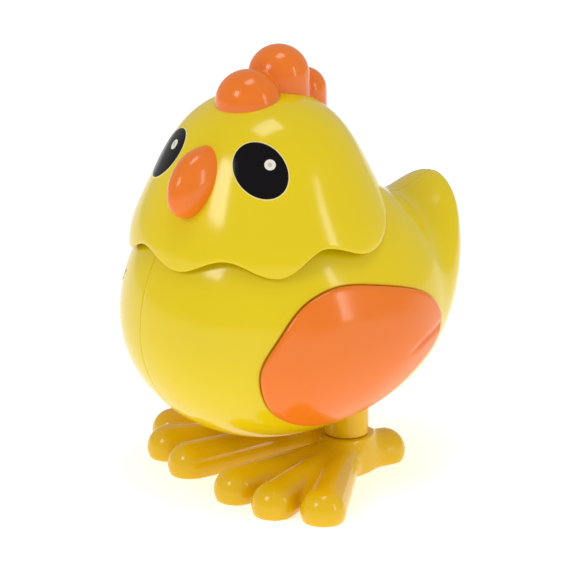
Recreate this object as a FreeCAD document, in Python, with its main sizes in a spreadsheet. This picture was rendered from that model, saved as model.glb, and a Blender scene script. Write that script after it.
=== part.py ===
"""Wind-up hopping chick, millimetres, +Z up, chest towards -Y.

The origin is on the ground at the centre of the toy's footprint.  The body is two shells that meet
on the plane x = 0; a wind-up motor between two plates turns a crank, whose pin works a slotted yoke
that pushes both legs down together.  The cap-shaped head turns on a post.
"""
import FreeCAD, Part
import math
import os

import Sketcher
from FreeCAD import Placement, Rotation, Vector

doc = FreeCAD.newDocument("HoppingChick")
sheet = doc.addObject("Spreadsheet::Sheet", "Sizes")

DRIVING_SIZES = {
    # body
    "neck_y": -9.0,
    "body_radius": 31.8,
    "body_widest_z": 39.0,
    "body_below": 28.0,
    "body_above": 33.4,
    "body_behind": 44.4,
    "rear_exponent": 2.2,
    "tail_back": 38.7,
    "tail_z": 45.7,
    "tail_lean_deg": 65.7,
    "tail_half_width": 16.4,
    "tail_half_length": 20.3,
    "tail_half_depth": 8.6,
    "tail_exponent": 1.8,
    "tail_blend": 8.9,
    "core_back": 8.0,
    "core_z": 36.0,
    "shell_wall": 2.0,
    # wings
    "wing_turn_deg": 9.0,
    "wing_proud": 1.3,
    "wing_recess": 1.0,
    "wing_gap": 0.25,
    # head
    "head_turn_deg": 18.0,
    "cap_wall": 1.2,
    "cap_edge_wall": 0.85,
    "cap_thin_below_z": 57.0,
    "cap_thick_above_z": 64.0,
    "neck_radius": 7.0,
    "neck_top_z": 75.3,
    "flange_radius": 9.0,
    "flange_thick": 1.5,
    "neck_plate_radius": 19.6,
    "neck_plate_bore": 7.08,
    "neck_plate_z": 73.0,
    "neck_plate_thick": 2.0,
    "eye_turn_deg": 37.5,
    "eye_pitch_deg": 29.0,
    "eye_z": 76.3,
    "eye_from_axis": 21.2,
    "eye_half_length": 6.75,
    "eye_half_width": 5.35,
    "eye_lean_deg": 37.0,
    "eye_recess": 0.6,
    "eye_proud": 0.35,
    # motor
    "plate_thick": 1.0,
    "front_plate_back": 12.5,
    "rear_plate_front": 4.5,
    "plate_low_z": 23.5,
    "plate_high_z": 58.5,
    "plate_left": 17.0,
    "plate_right": 13.0,
    "arbor_z": 33.0,
    "arbor_radius": 1.5,
    "arbor_bore": 1.56,
    "wheel_pin_radius": 0.8,
    "wheel_bore": 0.86,
    "crank_radius": 1.25,
    "crank_bore": 1.31,
    "crank_throw": 2.5,
    "crank_pin_radius": 0.9,
    "crank_disc_radius": 4.5,
    "crank_disc_thick": 1.5,
    "pillar_radius": 1.5,
    "screw_shank": 0.8,
    "screw_head": 1.6,
    "screw_head_thick": 0.8,
    "screw_clearance": 0.85,
    "gear_module": 0.6,
    "great_teeth": 36,
    "second_teeth": 30,
    "third_teeth": 24,
    "pinion_teeth": 12,
    "ratchet_teeth": 12,
    "ratchet_tip": 4.4,
    "ratchet_root": 3.4,
    "spring_turns": 5,
    "spring_strip": 0.35,
    "spring_width": 4.6,
    # legs
    "ankle_x": 7.5,
    "ankle_back": 17.7,
    "ankle_z": 8.6,
    "tube_radius": 5.0,
    "collar_radius": 5.3,
    "socket_radius": 3.6,
    "spigot_radius": 3.5,
    "spigot_length": 4.4,
    "leg_hole_radius": 5.55,
    "carrier_z": 26.0,
    "carrier_thick": 2.5,
    "carrier_half_width": 12.0,
    "carrier_front": 9.0,
    "carrier_rear": 22.0,
    "yoke_thick": 1.5,
    "yoke_half_width": 8.0,
    "yoke_top_z": 57.0,
    "foot_screw_shank": 1.2,
    "foot_screw_head": 2.2,
    # winding knob
    "knob_start": 39.0,
    "dish_radius": 7.5,
    "dish_floor": 38.2,
}
for row, (alias, number) in enumerate(DRIVING_SIZES.items(), start=1):
    sheet.set(f"A{row}", alias)
    sheet.set(f"B{row}", str(number))
    sheet.setAlias(f"B{row}", alias)
doc.recompute()
VALUES = {alias: float(sheet.get(alias)) for alias in DRIVING_SIZES}

SIDES = {"left": 1, "right": -1}
UP = Vector(0, 0, 1)
TO_FRONT = Rotation(Vector(1, 0, 0), 90)    # turns a piece built along +Z to run along -Y
TO_BACK = Rotation(Vector(1, 0, 0), -90)    # and to run along +Y
parts = {}


def size(alias):
    """The number in the sheet's cell with this alias."""
    return VALUES[alias]


def keep(item, label):
    """Register a finished sub-part under its node name."""
    item.Label = label
    parts[label] = item
    return item


def bind(item, **expressions):
    """Tie properties of an object to expressions in the sheet's cells."""
    for name, expression in expressions.items():
        item.setExpression(name, expression)
    return item


def shape_part(label, shape, placement=None):
    """A sub-part whose free-form shape no sketch or primitive gives."""
    item = doc.addObject("Part::Feature", label)
    item.Shape = shape
    if placement:
        item.Placement = placement
    return keep(item, label)


# ---------------------------------------------------------------- primitives and booleans

def cylinder(name, place, radius, height, turn=Rotation()):
    """A cylinder whose radius and height are expressions."""
    item = doc.addObject("Part::Cylinder", name)
    item.Placement = Placement(place, turn)
    return bind(item, Radius=radius, Height=height)


def box(name, corner, length, width, height):
    """A box whose three sizes are expressions."""
    item = doc.addObject("Part::Box", name)
    item.Placement = Placement(corner, Rotation())
    return bind(item, Length=length, Width=width, Height=height)


def cut(name, base, tool):
    item = doc.addObject("Part::Cut", name)
    item.Base = base
    item.Tool = tool
    return item


def fuse(name, items):
    item = doc.addObject("Part::MultiFuse", name)
    item.Shapes = items
    return item


def group(label, items):
    """Several separate solids kept in one node."""
    item = doc.addObject("Part::Compound", label)
    item.Links = items
    return keep(item, label)


def screw(name, place, turn, shank, head, head_thick, length):
    """A slotted screw: its head stands on the seat at place, its shank runs back along -Z."""
    top = cylinder(name + "_head", Vector(), head, head_thick)
    rod = cylinder(name + "_shank", Vector(0, 0, -length), shank, str(length))
    whole = fuse(name + "_whole", [top, rod])
    slot = box(name + "_slot", Vector(-4, -0.2, 0), "8", "0.4", head_thick)
    slot.Placement = Placement(Vector(-4, -0.2, 0.5 * size_of(head_thick)), Rotation())
    item = cut(name, whole, slot)
    item.Placement = Placement(place, turn)
    return item


def size_of(expression):
    """The value of an expression that is one cell or one number."""
    if expression.startswith("Sizes."):
        return size(expression[6:])
    return float(expression)


# ---------------------------------------------------------------- PartDesign bodies

def new_body(label, place, turn=Rotation()):
    body = doc.addObject("PartDesign::Body", label)
    body.Placement = Placement(place, turn)
    return keep(body, label)


def sketch_on(body, name, height=0.0):
    """A sketch on the body's own XY plane, lifted by height."""
    origin_plane = next(f for f in body.Origin.OriginFeatures if f.Role == "XY_Plane")
    sketch = body.newObject("Sketcher::SketchObject", name)
    sketch.AttachmentSupport = [(origin_plane, "")]
    sketch.MapMode = "FlatFace"
    sketch.AttachmentOffset = Placement(Vector(0, 0, height), Rotation())
    return sketch


def draw_circle(sketch, x, y, alias):
    """A circle whose radius is a cell of the sheet."""
    index = sketch.addGeometry(Part.Circle(Vector(x, y, 0), UP, size(alias)), False)
    number = sketch.addConstraint(Sketcher.Constraint("Radius", index, size(alias)))
    sketch.setExpression(f"Constraints[{number}]", f"Sizes.{alias}")


def draw_outline(sketch, corners):
    """A closed outline of straight lines."""
    points = [Vector(x, y, 0) for x, y in corners]
    lines = [Part.LineSegment(a, b) for a, b in zip(points, points[1:] + points[:1])]
    sketch.addGeometry(lines, False)


def pad(body, sketch, length, reverse=False):
    item = body.newObject("PartDesign::Pad", sketch.Name + "_pad")
    item.Profile = sketch
    item.Reversed = reverse
    return bind(item, Length=length)


def gear_corners(teeth, first_tooth_deg):
    """Outline of a spur gear: involute-like flanks, thinned for backlash, short tips."""
    module = size("gear_module")
    pitch = module * teeth / 2
    tip = pitch + 0.85 * module
    root = pitch - 1.25 * module
    base = pitch * math.cos(math.radians(20))
    half_at_pitch = 0.42 * math.pi / teeth
    flat = math.tan(math.radians(20)) - math.radians(20)

    def half_angle(radius):
        pressure = math.acos(min(1.0, base / radius))
        return half_at_pitch + flat - (math.tan(pressure) - pressure)

    flank = [max(base, root), (base + pitch) / 2, pitch, (pitch + tip) / 2, tip]
    rising = [(root, half_angle(max(base, root)))] + [(r, half_angle(r)) for r in flank]
    rising = [(r, a) for i, (r, a) in enumerate(rising) if i == 0 or r > rising[i - 1][0] + 0.02]
    corners = []
    for tooth in range(teeth):
        middle = math.radians(first_tooth_deg) + 2 * math.pi * tooth / teeth
        for radius, angle in rising:
            corners.append((radius * math.cos(middle - angle), radius * math.sin(middle - angle)))
        for radius, angle in reversed(rising):
            corners.append((radius * math.cos(middle + angle), radius * math.sin(middle + angle)))
    return corners


# ---------------------------------------------------------------- the body's outer form

NECK_Y = size("neck_y")
CORE = Vector(0, NECK_Y + size("core_back"), size("core_z"))


def egg_depth(x, y, z):
    """How far a point is outside the egg, measured along the line to the egg's middle."""
    back = y - NECK_Y
    rise = z - size("body_widest_z")
    radius = size("body_radius")
    power = size("rear_exponent") if back > 0 else 2.0
    reach = size("body_behind") if back > 0 else radius
    tall = size("body_above") if rise > 0 else size("body_below")
    plan = (abs(x / radius) ** power + abs(back / reach) ** power) ** (2 / power)
    ratio = math.sqrt(plan + (rise / tall) ** 2)
    return math.sqrt(x * x + back * back + rise * rise) * (1 - 1 / max(ratio, 1e-6))


def tail_depth(x, y, z):
    """The same for the tail's leaning lobe."""
    lean = math.radians(size("tail_lean_deg"))
    back = y - NECK_Y - size("tail_back")
    rise = z - size("tail_z")
    along = back * math.cos(lean) + rise * math.sin(lean)
    across = rise * math.cos(lean) - back * math.sin(lean)
    power = size("tail_exponent")
    ratio = (abs(x / size("tail_half_width")) ** power
             + abs(along / size("tail_half_length")) ** power
             + abs(across / size("tail_half_depth")) ** power) ** (1 / power)
    return math.sqrt(x * x + along * along + across * across) * (1 - 1 / max(ratio, 1e-6))


def body_depth(x, y, z):
    """Egg and tail joined with a soft valley between them."""
    egg = egg_depth(x, y, z)
    tail = tail_depth(x, y, z)
    blend = size("tail_blend")
    share = min(1.0, max(0.0, 0.5 + 0.5 * (tail - egg) / blend))
    return tail * (1 - share) + egg * share - blend * share * (1 - share)


def body_point(direction, level):
    """Where a ray from the core meets the surface that lies level outside the body."""
    near, far = 3.0, 75.0
    for _ in range(24):
        middle = (near + far) / 2
        spot = CORE + direction * middle
        if body_depth(spot.x, spot.y, spot.z) < level:
            near = middle
        else:
            far = middle
    return CORE + direction * far


half_bodies = {}


def half_body(side, level):
    """Solid of one half, lofted from the parting plane out to the side's middle."""
    if level not in half_bodies:
        half_bodies[level] = left_half(level)
    left = half_bodies[level]
    return left if side > 0 else left.mirror(Vector(), Vector(1, 0, 0))


def left_half(level):
    wires = []
    for open_deg in (90, 82, 74, 66, 58, 50, 42, 34, 26, 18, 10):
        opening = math.radians(open_deg)
        points = []
        for step in range(32):
            turn = 2 * math.pi * step / 32
            direction = Vector(math.cos(opening),
                               math.sin(opening) * math.cos(turn),
                               math.sin(opening) * math.sin(turn))
            points.append(body_point(direction, level))
        loop = Part.BSplineCurve()
        loop.interpolate(Points=points, PeriodicFlag=True)
        wires.append(Part.Wire(loop.toShape()))
    wires.append(Part.Vertex(body_point(Vector(1, 0, 0), level)))
    return Part.makeLoft(wires, True, False, False)


def rod(x, y, z, radius, length, axis):
    return Part.makeCylinder(radius, length, Vector(x, y, z), axis)


# ---------------------------------------------------------------- wings

WING_OUTLINE = [
    (-21.6, 35.5), (-20.5, 29.5), (-15.5, 22.9), (-6.0, 18.8), (4.0, 18.6), (13.0, 22.6),
    (19.5, 28.0), (24.8, 32.5), (27.0, 37.0), (24.8, 42.0), (17.5, 46.8), (5.0, 50.4),
    (-6.5, 51.5), (-13.8, 48.5), (-19.0, 41.8),
]


def wing_prism(side, inset):
    """The wing's outline, drawn in from its edge by inset, swept sideways through the shell."""
    middle_along = sum(a for a, _ in WING_OUTLINE) / len(WING_OUTLINE)
    middle_z = sum(z for _, z in WING_OUTLINE) / len(WING_OUTLINE)
    turn = math.radians(size("wing_turn_deg"))
    outward = Vector(side * math.cos(turn), math.sin(turn), 0)
    points = []
    for along, z in WING_OUTLINE:
        reach = math.hypot(along - middle_along, z - middle_z)
        factor = 1 - inset / reach
        along = middle_along + (along - middle_along) * factor
        z = middle_z + (z - middle_z) * factor
        points.append(Vector(-side * along * math.sin(turn), along * math.cos(turn) + NECK_Y, z)
                      + outward * 10)
    loop = Part.BSplineCurve()
    loop.interpolate(Points=points, PeriodicFlag=True)
    return Part.Face(Part.Wire(loop.toShape())).extrude(outward * 35)


def make_wing(label, side):
    """A wing fills its recess and stands a little proud of the body."""
    outer = half_body(side, size("wing_proud"))
    inner = half_body(side, -size("wing_recess"))
    shape_part(label, wing_prism(side, size("wing_gap")).common(outer).cut(inner))


# ---------------------------------------------------------------- body shells

BOSSES = [(-25.3, 48.3), (-14.0, 19.5), (33.0, 49.0)]    # back from the neck, height
BOSS_RADIUS = 3.4
BOSS_HEAD_SEAT = -12.0
BOSS_END = 9.0


def shell_ribs(side):
    """Pairs of ribs that hold the edges of the two motor plates."""
    edge = size("plate_left") if side > 0 else size("plate_right")
    ribs = []
    for front, rear in (plate_span("front"), plate_span("rear")):
        for low_y in (front - 1.3, rear + 0.1):
            corner = Vector(edge - 2 if side > 0 else -40, low_y, 31)
            ribs.append(Part.makeBox(42 - edge, 1.2, 20, corner))
    return ribs


def plate_span(which):
    """Front and rear y of a motor plate."""
    thick = size("plate_thick")
    if which == "front":
        rear = NECK_Y - size("front_plate_back")
        return rear - thick, rear
    front = NECK_Y + size("rear_plate_front")
    return front, front + thick


def screw_bores(side):
    """Pilot holes in the left shell, clearance holes and head pockets in the right one."""
    bores = []
    for back, z in BOSSES:
        y = NECK_Y + back
        if side > 0:
            bores.append(rod(-1, y, z, size("foot_screw_shank") + 0.02, BOSS_END + 1,
                             Vector(1, 0, 0)))
        else:
            bores.append(rod(1, y, z, size("foot_screw_shank") + 0.1, 20, Vector(-1, 0, 0)))
            bores.append(rod(BOSS_HEAD_SEAT, y, z, size("foot_screw_head") + 0.2, 30,
                             Vector(-1, 0, 0)))
    return bores


def make_shell(label, side):
    """One half of the body, with screw bosses, motor ribs, neck post, leg hole and wing recess."""
    outer = half_body(side, 0.0)
    dish_y = NECK_Y + size("dish_floor")
    rearwards = Vector(0, 1, 0)
    fittings = [rod(0, NECK_Y + back, z, BOSS_RADIUS, 40, Vector(side, 0, 0))
                for back, z in BOSSES]
    fittings.append(rod(0, dish_y - 1.6, size("arbor_z"), size("dish_radius") + 1.4, 8, rearwards))
    cavity = half_body(side, -size("shell_wall")).cut(fittings + shell_ribs(side))

    openings = [
        cavity,
        rod(0, dish_y, size("arbor_z"), size("dish_radius"), 20, rearwards),
        rod(0, dish_y - 12, size("arbor_z"), size("arbor_bore"), 30, rearwards),
        rod(side * size("ankle_x"), NECK_Y + size("ankle_back"), 5, size("leg_hole_radius"), 20,
            UP),
    ]
    recess = wing_prism(side, 0.0).cut(half_body(side, -size("wing_recess")))
    shell = outer.cut(openings + screw_bores(side)).cut(recess)

    half_space = Part.makeBox(30, 60, 60, Vector(0 if side > 0 else -30, NECK_Y - 30, 50))
    post = rod(0, NECK_Y, 69.5, size("neck_radius"), size("neck_top_z") - 69.5, UP)
    flange = rod(0, NECK_Y, size("neck_top_z"), size("flange_radius"), size("flange_thick"), UP)
    shape_part(label, shell.fuse(post.fuse(flange).common(half_space)))


def make_body_screws():
    screws = []
    for number, (back, z) in enumerate(BOSSES):
        place = Vector(BOSS_HEAD_SEAT, NECK_Y + back, z)
        screws.append(screw(f"body_screw_{number}", place, Rotation(Vector(0, 1, 0), -90),
                            "Sizes.foot_screw_shank", "Sizes.foot_screw_head", "1.4",
                            BOSS_END - BOSS_HEAD_SEAT - 1))
    group("body_screws", screws)


# ---------------------------------------------------------------- head

CAP_PROFILE = [(29.5, 53.0), (29.4, 57.0), (28.1, 62.0), (25.9, 67.0), (23.4, 72.0), (20.4, 77.6),
               (16.6, 82.6), (10.9, 86.7), (5.6, 88.5), (0.0, 89.0)]


CAP_CENTRE_Z = 55.0
CAP_BASE_Z = 51.0


def cap_inset(z):
    """Thickness of the cap's wall at a height: thinner round the edge, where it passes the body."""
    low, high = size("cap_thin_below_z"), size("cap_thick_above_z")
    share = min(1.0, max(0.0, (z - low) / (high - low)))
    return size("cap_edge_wall") + (size("cap_wall") - size("cap_edge_wall")) * share


def cap_solid(inset):
    """The head's outer form as a solid of revolution, drawn in by inset(z)."""
    points = []
    for radius, z in CAP_PROFILE:
        shrink = 1 - inset(z) / math.hypot(radius, z - CAP_CENTRE_Z)
        points.append(Vector(radius * shrink, 0, CAP_CENTRE_Z + (z - CAP_CENTRE_Z) * shrink))
    curve = Part.BSplineCurve()
    curve.interpolate(Points=points, InitialTangent=Vector(0, 0, 1), FinalTangent=Vector(-1, 0, 0))
    base = CAP_BASE_Z - inset(CAP_BASE_Z)
    rim, low = Vector(points[0].x, 0, base), Vector(0, 0, base)
    edges = [curve.toShape(), Part.makeLine(points[-1], low), Part.makeLine(low, rim),
             Part.makeLine(rim, points[0])]
    return Part.Face(Part.Wire(edges)).revolve(Vector(), UP, 360)


# highest and lowest places of the cap's scalloped edge: degrees from the face, height
EDGE_TURNS = [(0.0, 54.6), (22.5, 58.0), (45.0, 54.6), (67.0, 60.0), (90.0, 57.2), (136.0, 66.6),
              (180.0, 67.6)]


def edge_height(angle_deg):
    """Height of the cap's edge, a soft wave through its highest and lowest places."""
    away = min(angle_deg % 360, 360 - angle_deg % 360)
    for (start, start_z), (end, end_z) in zip(EDGE_TURNS, EDGE_TURNS[1:]):
        if away <= end:
            share = (1 - math.cos(math.pi * (away - start) / (end - start))) / 2
            return start_z + (end_z - start_z) * share


def below_edge(start_deg, end_deg, side):
    """Everything below part of the cap's edge, as a band to be cut away."""
    steps = round((end_deg - start_deg) / 5)
    curves = []
    for radius in (20, 36):
        points = []
        for step in range(steps + 1):
            angle = start_deg + (end_deg - start_deg) * step / steps
            turn = math.radians(side * angle - 90)
            points.append(Vector(radius * math.cos(turn), radius * math.sin(turn),
                                 edge_height(angle)))
        curve = Part.BSplineCurve()
        curve.interpolate(Points=points)
        curves.append(curve.toShape())
    return Part.makeRuledSurface(*curves).extrude(Vector(0, 0, -22))


def head_place():
    return Placement(Vector(0, NECK_Y, 0), Rotation(UP, size("head_turn_deg")))


def eye_prism(side, growth):
    """The eye's oval, swept outwards through the cap's wall."""
    turn = math.radians(size("eye_turn_deg"))
    pitch = math.radians(size("eye_pitch_deg"))
    outward = Vector(side * math.sin(turn) * math.cos(pitch),
                     -math.cos(turn) * math.cos(pitch), math.sin(pitch))
    level = Vector(-side * math.cos(turn), -math.sin(turn), 0)
    upright = outward.cross(level) * side
    if upright.z < 0:
        upright = upright * -1
    lean = math.radians(size("eye_lean_deg"))
    long_axis = upright * math.cos(lean) + level * math.sin(lean)
    radius = size("eye_from_axis")
    middle = Vector(side * radius * math.sin(turn), -radius * math.cos(turn), size("eye_z"))
    start = middle - outward * 6
    oval = Part.Ellipse(start + long_axis * (size("eye_half_length") + growth),
                        start + outward.cross(long_axis) * (size("eye_half_width") + growth),
                        start)
    return Part.Face(Part.Wire(oval.toShape())).extrude(outward * 14)


COMB_LOBES = {"front": (-4.1, 6.9, 94.3, 80.0), "middle": (5.8, 6.8, 98.0, 80.0),
              "rear": (14.9, 5.0, 91.4, 78.0)}    # back from the axis, radius, top, foot


def comb_solid():
    """Three upright lobes with round tops."""
    lobes = []
    for back, radius, top, foot in COMB_LOBES.values():
        stem = rod(0, back, foot, radius, top - radius - foot, UP)
        dome = Part.makeSphere(radius, Vector(0, back, top - radius))
        lobes.append(stem.fuse(dome))
    return lobes[0].fuse(lobes[1:])


PEGS = {"comb": (Vector(0, -4.1, 92), Vector(0, 0, -1), 10.0),
        "beak": (Vector(0, -29, 72.0), Vector(0, 1, 0), 8.8)}    # start, direction, length
PEG_RADIUS = 1.6


def peg(name, growth=0.0):
    start, direction, length = PEGS[name]
    return Part.makeCylinder(PEG_RADIUS + growth, length, start, direction)


def beak_solid():
    """A rounded cone, taller than wide, pointing slightly down."""
    sections = []
    for ahead, half_width, half_height, z in ((20.0, 5.2, 8.2, 73.2), (24.0, 5.0, 7.9, 72.8),
                                              (27.5, 4.2, 6.6, 71.9), (30.0, 3.1, 4.9, 71.1),
                                              (31.6, 1.6, 2.6, 70.4)):
        middle = Vector(0, -ahead, z)
        oval = Part.Ellipse(middle + Vector(0, 0, half_height), middle + Vector(half_width, 0, 0),
                            middle)
        sections.append(Part.Wire(oval.toShape()))
    sections.append(Part.Vertex(Vector(0, -32.1, 70.1)))
    return Part.makeLoft(sections, True, False, False)


def make_head():
    """Cap, comb, beak and eyes, built facing -Y on their own axis and then turned."""
    outer = cap_solid(lambda z: 0.0)
    inner = cap_solid(cap_inset)
    cap = outer.cut(inner)
    for side in SIDES.values():
        for start_deg, end_deg in ((-5, 95), (85, 185)):
            cap = cap.cut(below_edge(start_deg, end_deg, side))
    recess_floor = cap_solid(lambda z: size("eye_recess"))
    eye_front = cap_solid(lambda z: -size("eye_proud"))
    for name in PEGS:
        cap = cap.cut(peg(name, 0.05))
    for side_name, side in SIDES.items():
        cap = cap.cut(eye_prism(side, 0.06).cut(recess_floor))
        eye = eye_prism(side, 0.0).common(eye_front).cut(recess_floor)
        shape_part(f"{side_name}_eye", eye, head_place())
    shape_part("head_shell", cap, head_place())
    shape_part("comb", comb_solid().cut(outer).fuse(peg("comb").common(outer)), head_place())
    shape_part("beak", beak_solid().cut(outer).fuse(peg("beak").common(outer)), head_place())


def make_neck_plate():
    body = new_body("neck_plate", Vector(0, NECK_Y, size("neck_plate_z")),
                    Rotation(UP, size("head_turn_deg")))
    sketch = sketch_on(body, "neck_plate_sketch")
    draw_circle(sketch, 0, 0, "neck_plate_radius")
    draw_circle(sketch, 0, 0, "neck_plate_bore")
    pad(body, sketch, "Sizes.neck_plate_thick")


# ---------------------------------------------------------------- motor frame

def arbor_at():
    return 0.0, size("arbor_z")


def mesh_distance(first, second):
    return size("gear_module") * (size(first) + size(second)) / 2


SECOND_DEG = 30.0     # direction from the great wheel to the second wheel
THIRD_DEG = 99.0      # direction from the second wheel to the third wheel
SECOND_AT = (mesh_distance("great_teeth", "pinion_teeth") * math.cos(math.radians(SECOND_DEG)),
             size("arbor_z") + mesh_distance("great_teeth", "pinion_teeth")
             * math.sin(math.radians(SECOND_DEG)))
THIRD_AT = (SECOND_AT[0] + mesh_distance("second_teeth", "pinion_teeth")
            * math.cos(math.radians(THIRD_DEG)),
            SECOND_AT[1] + mesh_distance("second_teeth", "pinion_teeth")
            * math.sin(math.radians(THIRD_DEG)))
CRANK_AT = (0.0, THIRD_AT[1] - math.sqrt(mesh_distance("third_teeth", "pinion_teeth") ** 2
                                         - THIRD_AT[0] ** 2))
CRANK_DEG = math.degrees(math.atan2(CRANK_AT[1] - THIRD_AT[1], CRANK_AT[0] - THIRD_AT[0]))
PILLARS = [(-11.0, 25.5), (15.0, 25.5), (-11.0, 55.0), (0.0, 57.0)]


def make_plate(label, which):
    """A motor plate: bearings for the arbor and crank, seats for the wheel pins and screws."""
    front, rear = plate_span(which)
    body = new_body(label, Vector(0, rear, 0), TO_FRONT)
    sketch = sketch_on(body, label + "_sketch")
    left, right = size("plate_left"), -size("plate_right")
    low, high = size("plate_low_z"), size("plate_high_z")
    draw_outline(sketch, [(right, low), (left, low), (left, high), (right, high)])
    draw_circle(sketch, *arbor_at(), "arbor_bore")
    draw_circle(sketch, *CRANK_AT, "crank_bore")
    draw_circle(sketch, *SECOND_AT, "wheel_pin_radius")
    draw_circle(sketch, *THIRD_AT, "wheel_pin_radius")
    for x, z in PILLARS:
        draw_circle(sketch, x, z, "screw_clearance")
    pad(body, sketch, "Sizes.plate_thick")


def make_frame():
    make_plate("motor_front_plate", "front")
    make_plate("motor_rear_plate", "rear")
    start = plate_span("front")[1]
    end = plate_span("rear")[0]
    pillars, screws = [], []
    for number, (x, z) in enumerate(PILLARS):
        whole = cylinder(f"pillar_{number}", Vector(x, end, z), "Sizes.pillar_radius",
                         "Sizes.front_plate_back + Sizes.rear_plate_front", TO_FRONT)
        bore = cylinder(f"pillar_bore_{number}", Vector(x, end, z), "Sizes.screw_clearance",
                        "Sizes.front_plate_back + Sizes.rear_plate_front", TO_FRONT)
        pillars.append(cut(f"pillar_cut_{number}", whole, bore))
        thick = size("plate_thick")
        screws.append(screw(f"front_screw_{number}", Vector(x, start - thick, z), TO_FRONT,
                            "Sizes.screw_shank", "Sizes.screw_head", "Sizes.screw_head_thick", 5))
        screws.append(screw(f"rear_screw_{number}", Vector(x, end + thick, z), TO_BACK,
                            "Sizes.screw_shank", "Sizes.screw_head", "Sizes.screw_head_thick", 5))
    group("motor_pillars", pillars)
    group("motor_screws", screws)
    pins = []
    for number, (x, z) in enumerate((SECOND_AT, THIRD_AT)):
        pins.append(cylinder(f"wheel_pin_{number}", Vector(x, end + size("plate_thick"), z),
                             "Sizes.wheel_pin_radius",
                             "Sizes.front_plate_back + Sizes.rear_plate_front"
                             " + 2 * Sizes.plate_thick", TO_FRONT))
    group("wheel_pins", pins)


def make_mainspring():
    """A coiled strip from the arbor out to a pillar."""
    pillar_x, pillar_z = PILLARS[0]
    arm = math.hypot(pillar_x, pillar_z - size("arbor_z"))
    end_angle = math.atan2(pillar_z - size("arbor_z"), pillar_x)
    inner, outer = size("arbor_radius") + 0.3, arm - size("pillar_radius") - 0.05
    strip = size("spring_strip")
    turns = size("spring_turns")
    steps = int(turns * 16)
    edges = []
    for offset in (0.0, -strip):
        points = []
        for step in range(steps + 1):
            share = step / steps
            angle = end_angle - 2 * math.pi * turns * (1 - share)
            radius = inner + strip + (outer - inner - strip) * share + offset
            points.append(Vector(radius * math.cos(angle), radius * math.sin(angle), 0))
        curve = Part.BSplineCurve()
        curve.interpolate(Points=points)
        edges.append(curve)
    ends = [Part.makeLine(edges[0].StartPoint, edges[1].StartPoint),
            Part.makeLine(edges[0].EndPoint, edges[1].EndPoint)]
    outline = Part.Wire(Part.__sortEdges__([e.toShape() for e in edges] + ends))
    strip_solid = Part.Face(outline).extrude(UP * size("spring_width"))
    shape_part("mainspring", strip_solid,
               Placement(Vector(0, NECK_Y - 6.2, size("arbor_z")), TO_FRONT))


# ---------------------------------------------------------------- wheels

def make_wheel(label, at, layers, bore, back):
    """Gears stacked on one axis.

    Each layer is (outline or radius alias, thickness) and the stack runs from y = neck + back
    towards the front."""
    body = new_body(label, Vector(at[0], NECK_Y + back, at[1]), TO_FRONT)
    height = 0.0
    for number, (form, thick) in enumerate(layers):
        sketch = sketch_on(body, f"{label}_sketch_{number}", height)
        if isinstance(form, str):
            draw_circle(sketch, 0, 0, form)
        else:
            draw_outline(sketch, form)
        draw_circle(sketch, 0, 0, bore)
        pad(body, sketch, str(thick))
        height += thick
    return body


def ratchet_corners():
    """Saw teeth that catch one way only."""
    teeth = int(size("ratchet_teeth"))
    corners = []
    for tooth in range(teeth):
        start = 2 * math.pi * tooth / teeth
        drop = start + 2 * math.pi / teeth * 0.92
        corners.append((size("ratchet_tip") * math.cos(start),
                        size("ratchet_tip") * math.sin(start)))
        corners.append((size("ratchet_root") * math.cos(drop),
                        size("ratchet_root") * math.sin(drop)))
    return corners


PAWL_PIVOT = (0.0, 7.6)
PAWL_TIP = (3.3, 3.35)


def make_wheels():
    """Great wheel, two intermediate wheels and the crank's pinion, in mesh at rest."""
    great = int(size("great_teeth"))
    second = int(size("second_teeth"))
    third = int(size("third_teeth"))
    pinion = int(size("pinion_teeth"))
    half_pinion = 180 / pinion
    make_wheel("great_wheel", arbor_at(), [(gear_corners(great, SECOND_DEG), 1.5)],
               "arbor_bore", -2.3)
    make_wheel("second_wheel", SECOND_AT,
               [(gear_corners(second, THIRD_DEG), 1.0),
                (gear_corners(pinion, SECOND_DEG + 180 + half_pinion), 3.1)],
               "wheel_bore", -0.2)
    make_wheel("third_wheel", THIRD_AT,
               [(gear_corners(third, CRANK_DEG), 1.0),
                (gear_corners(pinion, THIRD_DEG + 180 + half_pinion), 2.6)],
               "wheel_bore", 1.9)
    make_wheel("crank_pinion", CRANK_AT,
               [(gear_corners(pinion, CRANK_DEG + 180 + half_pinion), 2.0)],
               "crank_radius", 2.4)
    make_wheel("ratchet_wheel", arbor_at(), [(ratchet_corners(), 1.2)], "arbor_radius", -4.2)


def make_pawl():
    """Pawl, its post with a head, and the coil spring on the post."""
    x, z = PAWL_PIVOT[0], size("arbor_z") + PAWL_PIVOT[1]
    face = NECK_Y - 3.8
    stem = cylinder("post_stem", Vector(x, face, z), "0.6", "1.8", TO_FRONT)
    head = cylinder("post_head", Vector(x, face - 1.8, z), "1.1", "0.3", TO_FRONT)
    keep(fuse("pawl_post", [stem, head]), "pawl_post")
    coil = doc.addObject("Part::Torus", "pawl_spring")
    bind(coil, Radius1="0.85", Radius2="0.18")
    coil.Placement = Placement(Vector(x, face - 0.25, z), TO_FRONT)
    keep(coil, "pawl_spring")

    body = new_body("pawl", Vector(0, face - 0.6, size("arbor_z")), TO_FRONT)
    sketch = sketch_on(body, "pawl_sketch")
    px, pz = PAWL_PIVOT
    tx, tz = PAWL_TIP
    draw_outline(sketch, [(px - 1.2, pz - 0.4), (px + 0.2, pz - 1.3), (tx - 0.2, tz + 0.1), (tx, tz),
                          (tx + 0.5, tz + 0.9), (px + 1.3, pz + 0.3), (px + 0.7, pz + 1.2),
                          (px - 0.8, pz + 1.1)])
    sketch.addGeometry(Part.Circle(Vector(px, pz, 0), UP, 0.66), False)
    pad(body, sketch, "1.0")


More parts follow.
